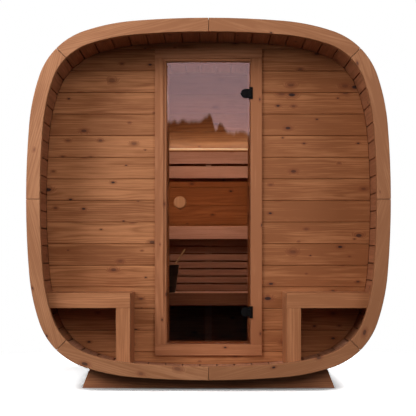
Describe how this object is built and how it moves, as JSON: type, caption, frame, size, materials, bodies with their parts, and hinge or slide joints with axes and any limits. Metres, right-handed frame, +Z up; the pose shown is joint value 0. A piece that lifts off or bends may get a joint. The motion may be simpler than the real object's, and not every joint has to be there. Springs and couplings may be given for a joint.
{
  "type": "outdoor sauna",
  "caption": "Rounded-square wooden barrel sauna with a front porch, corner seats, a hinged tinted glass door, two-tier benches inside and timber cradles underneath",
  "frame": {"origin": "middle of the overall footprint, on the ground", "axes": "+Z up, -Y out of the front (the side with the porch and the door), +X to the right of someone facing the front"},
  "size_m": [2.06, 1.68, 2.105],
  "materials": {
    "stave_wood": "heat-treated, fine sawn",
    "wall_wood": "heat-treated, planed",
    "hoop_wood": "heat-treated, planed",
    "frame_wood": "heat-treated, planed",
    "seat_wood": "heat-treated, planed",
    "bench_wood": "heat-treated, planed",
    "cradle_wood": "heat-treated, sawn",
    "door_glass": "clear, bronze tint",
    "knob_wood": "oiled",
    "hinge_black": "satin black",
    "light_strip": "diffusing",
    "bucket_dark": "satin",
    "ladle_wood": "oiled",
    "band_steel": "brushed"
  },
  "bodies": {
    "body": {"floor_staves": "stave_wood", "roof_staves": "stave_wood", "left_wall_staves": "stave_wood", "right_wall_staves": "stave_wood", "front_hoop_top": "hoop_wood", "front_hoop_bottom": "hoop_wood", "front_hoop_left": "hoop_wood", "front_hoop_right": "hoop_wood", "rear_hoop": "hoop_wood", "front_wall_left": "wall_wood", "front_wall_right": "wall_wood", "front_wall_over_door": "wall_wood", "front_wall_under_door": "wall_wood", "back_wall": "wall_wood", "door_head": "frame_wood", "door_sill": "frame_wood", "door_jamb_left": "frame_wood", "door_jamb_right": "frame_wood", "hinge_leaves": "hinge_black", "left_seat_boards": "seat_wood", "left_seat_rail": "seat_wood", "left_seat_post": "seat_wood", "left_seat_supports": "seat_wood", "right_seat_boards": "seat_wood", "right_seat_rail": "seat_wood", "right_seat_post": "seat_wood", "right_seat_supports": "seat_wood", "upper_bench_boards": "bench_wood", "upper_bench_rail": "bench_wood", "upper_bench_bearers": "bench_wood", "lower_bench_boards": "bench_wood", "lower_bench_rail": "bench_wood", "lower_bench_supports": "bench_wood", "bench_screen": "bench_wood", "backrest": "bench_wood", "light_strip": "light_strip", "water_bucket": "bucket_dark", "ladle": "ladle_wood", "front_cradle": "cradle_wood", "rear_cradle": "cradle_wood", "tension_bands": "band_steel"},
    "door": {"door_glass": "door_glass", "door_knob_outside": "knob_wood", "door_knob_inside": "knob_wood", "hinge_clamps": "hinge_black"}
  },
  "joints": [
    {"name": "door_hinge", "type": "hinge", "parent": "body", "child": "door", "pos_m": [0.2535, -0.387, 1], "axis": [0, 0, 1], "range_deg": [0, 110]}
  ]
}
